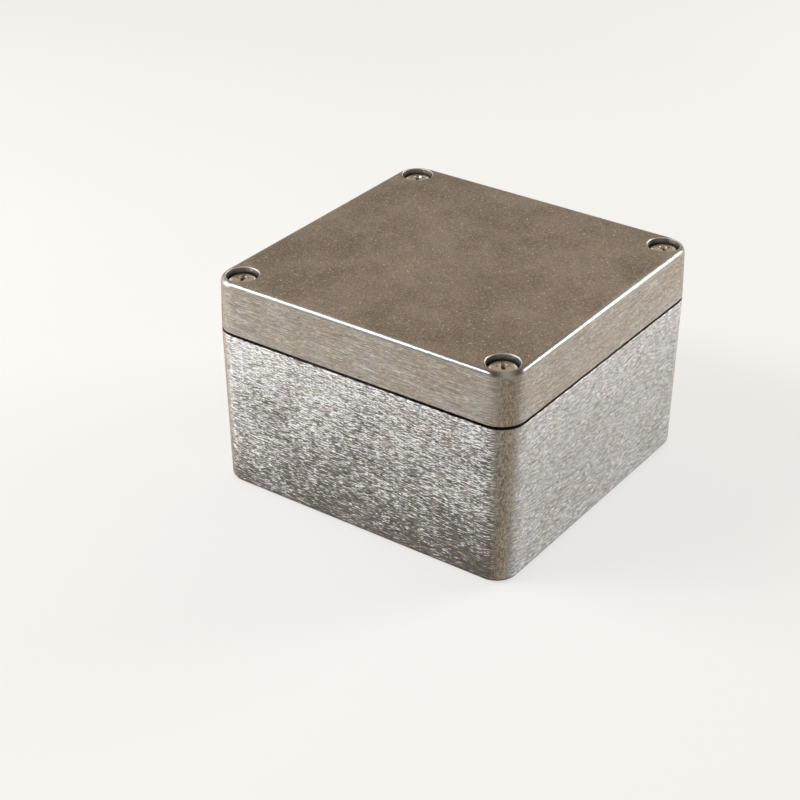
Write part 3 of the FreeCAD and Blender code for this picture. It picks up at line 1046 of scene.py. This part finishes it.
# %% [markdown]
# ## The lid screws
#
# Each lid screw has a waist above its thread, where the nylon ring sits. The ring can't pass a
# full thread, so the screw can't fall out of the lid. The ridge drawn here is too low for that,
# by the fault of the thread step. No two recesses stand at the same angle, as after any real
# tightening.

# %% Lid screws
HEAD_HEIGHT = 3.7 * MM
WAIST_RADIUS = 2.0 * MM
SHOULDER = base_rim + 0.4 * MM
LID_BEVEL = 0.5 * MM
lid_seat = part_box("lid_screw_front_right")[1].z - HEAD_HEIGHT
lid_recess = {"span": 5.4 * MM, "width": 1.35 * MM, "depth": 2.5 * MM}
lid_thread = {
    "core": CORE_RADIUS, "reach": THREAD_RADIUS - CORE_RADIUS, "pitch": PITCH,
    "turns": (SHOULDER - screw_tip) / PITCH}
RECESS_TURNS = {"front_right": 37.0, "front_left": 31.0, "back_left": 34.0, "back_right": 40.0}


def lid_shank(tip):
    """Waist, shoulder and threaded core, down to a bevelled tip."""
    return [(WAIST_RADIUS, lid_seat), (WAIST_RADIUS, SHOULDER), (CORE_RADIUS, SHOULDER - 0.1 * MM),
            (CORE_RADIUS, tip + LID_BEVEL), (CORE_RADIUS - LID_BEVEL, tip), (0.0, tip)]


for screw_place in SCREW_PLACES:
    turned_screw(
        "lid_screw_" + screw_place, {"seat": lid_seat, "profile": lid_shank}, lid_recess, lid_thread,
        screw_steel, "lid_screw_" + screw_place, math.radians(RECESS_TURNS[screw_place]))

# %% [markdown]
# ## The earth screw
#
# The same function makes the short screw on the earth boss. It has no waist, and the last bit of
# its core below the head stays plain.

# %% Earth screw
EARTH_HEAD_HEIGHT = 3.1 * MM
EARTH_CORE_RADIUS = 1.62 * MM
EARTH_THREAD_RADIUS = 2.0 * MM
EARTH_PITCH = 0.7 * MM
EARTH_BEVEL = 0.4 * MM
EARTH_PLAIN = 0.3 * MM
EARTH_TURN = 17.0
earth_low, earth_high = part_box("earth_screw")
earth_seat = earth_high.z - EARTH_HEAD_HEIGHT


def earth_shank(tip):
    """Threaded core from the head down to a bevelled tip."""
    return [(EARTH_CORE_RADIUS, earth_seat), (EARTH_CORE_RADIUS, tip + EARTH_BEVEL),
            (EARTH_CORE_RADIUS - EARTH_BEVEL, tip), (0.0, tip)]


earth_recess = {"span": 4.4 * MM, "width": 1.15 * MM, "depth": 2.1 * MM}
earth_thread = {
    "core": EARTH_CORE_RADIUS, "reach": EARTH_THREAD_RADIUS - EARTH_CORE_RADIUS, "pitch": EARTH_PITCH,
    "turns": (earth_seat - EARTH_PLAIN - earth_low.z) / EARTH_PITCH}
turned_screw(
    "earth_screw", {"seat": earth_seat, "profile": earth_shank}, earth_recess, earth_thread,
    earth_steel, "base", math.radians(EARTH_TURN))

# %% [markdown]
# ## The floor
#
# Bare metal has hardly any colour of its own: it shows what stands round it. So the floor, the
# lamps and the room are the last materials of this lesson. The floor is pale and wide. Looked at
# directly it should be almost white, but a white floor would flood the walls with light from
# below. So it has two surfaces: a greyer one for the light that it spreads, and the same one
# lifted towards white for rays that come from the camera or off a mirror-like surface.

# %% Floor
FLOOR_HALF = 6.0
FLOOR_LIFT = 0.68
FLOOR_GREYED = 0.63
FLOOR_SHADE = (0.93, 0.925, 0.90, 1.0)
FLOOR_LIGHT = (0.96, 0.955, 0.935, 1.0)
BLACK = (0.0, 0.0, 0.0, 1.0)


def seen_directly(tree):
    """1 for rays from the camera or off a mirror-like surface, 0 for light that spreads."""
    from_camera = tree.add("ShaderNodeLightPath", output="Is Camera Ray")
    return from_camera + tree.add("ShaderNodeLightPath", output="Is Glossy Ray")


def floor_finish():
    """A pale matt sheet, lifted towards white only where it is looked at."""
    material, tree = new_finish("pale_floor")
    cloud = noise(tree, millimetres(tree), (0.004, 0.004, 0.004), detail=1.0)
    colour = mix_colour(tree, cloud, FLOOR_SHADE, FLOOR_LIGHT)
    plain = {
        "Base Color": mix_colour(tree, FLOOR_GREYED, colour, BLACK),
        "Roughness": 0.9,
        "Specular IOR Level": 0.1,
    }
    lifted = {**plain, "Emission Color": colour, "Emission Strength": FLOOR_LIFT}
    finish_with(tree, mix_surface(
        tree, seen_directly(tree), principled(tree, plain), principled(tree, lifted)))
    return material


floor_mesh = bpy.data.meshes.new("floor")
floor_corners = [
    (x * FLOOR_HALF, y * FLOOR_HALF, 0.0) for x, y in ((-1, -1), (1, -1), (1, 1), (-1, 1))]
floor_mesh.from_pydata(floor_corners, [], [(0, 1, 2, 3)])
floor_mesh.materials.append(floor_finish())
floor = object_from("floor", floor_mesh)
floor.location.z = cad_low.z
print("floor at", round(floor.location.z / MM, 3), "mm")

# %% [markdown]
# ## Four soft lamps
#
# A rubbed wall spreads a reflection up and down but hardly sideways, so what counts is a lamp's
# bearing round the box. One lamp stands behind on the right, where the right wall mirrors it to
# the camera. Two stand in front on the left, for the front wall: a high one near the bearing
# that the wall mirrors, and a low one further round, which brightens the wall's left end. The
# upright corner looks between them and stays dark. A weak lamp from above gives the lid's top
# and the floor a little light.

# %% Lamps
LAMP_WHITE = (1.0, 0.99, 0.975)


def soft_lamp(name, direction, distance, width, height, watts):
    """A rectangular lamp that looks at the middle of the box from a direction."""
    data = bpy.data.lights.new(name, "AREA")
    data.shape = "RECTANGLE"
    data.size = width
    data.size_y = height
    data.energy = watts
    data.color = LAMP_WHITE
    lamp = bpy.data.objects.new(name, data)
    bpy.context.scene.collection.objects.link(lamp)
    away = Vector(direction).normalized()
    lamp.location = box_centre + away * distance
    lamp.rotation_mode = "QUATERNION"
    lamp.rotation_quaternion = (-away).to_track_quat("-Z", "Y")
    print(name, watts, "W at", [round(value, 2) for value in lamp.location])


soft_lamp("lamp_left_front", (-0.82, -0.46, 0.36), 0.70, width=0.38, height=0.20, watts=1.95)
soft_lamp("lamp_right_back", (0.50, 0.80, 0.38), 1.2, width=0.60, height=0.12, watts=6.3)
soft_lamp("lamp_left_high", (-0.49, -0.53, 0.69), 1.3, width=0.50, height=0.16, watts=4.5)
soft_lamp("lamp_front_high", (0.45, -0.27, 0.85), 1.3, width=0.50, height=0.50, watts=1.3)

# %% [markdown]
# ## The room
#
# A mirror finish would show the room's furniture. A rubbed one only shows how bright each side
# of it is, so two smooth gradients are enough: warm and dim behind the box, and darker in front,
# where the camera stands. The lid's top and the upright corner look at that, which is why they
# are the dark parts of the box. Below the horizon it is a pale grey.

# %% Room
FRONT_X = 0.58
FRONT_Y = -0.81
BEHIND = (0.44, 0.378, 0.316, 1.0)
IN_FRONT = (0.09, 0.073, 0.056, 1.0)
BELOW = (0.50, 0.48, 0.45, 1.0)
world = bpy.data.worlds.new("dim_room")
bpy.context.scene.world = world
world.use_nodes = True
world.node_tree.nodes.clear()
room = Tree(world.node_tree)
direction = room.add("ShaderNodeTexCoord", output="Generated")
up = along(room, direction, "Z")
to_front = along(room, direction, "X") * FRONT_X + along(room, direction, "Y") * FRONT_Y
in_front = step_between(room, to_front, -0.45, 0.35)
walls = mix_colour(room, in_front, BEHIND, IN_FRONT)
tint = mix_colour(room, step_between(room, up, 0.0, 0.10), BELOW, walls)
surroundings = room.add("ShaderNodeBackground", inputs={"Color": tint, "Strength": 1.0})
room.add("ShaderNodeOutputWorld", inputs={"Surface": surroundings})

bpy.context.scene.view_settings.view_transform = "Standard"
print("room:", world.name)
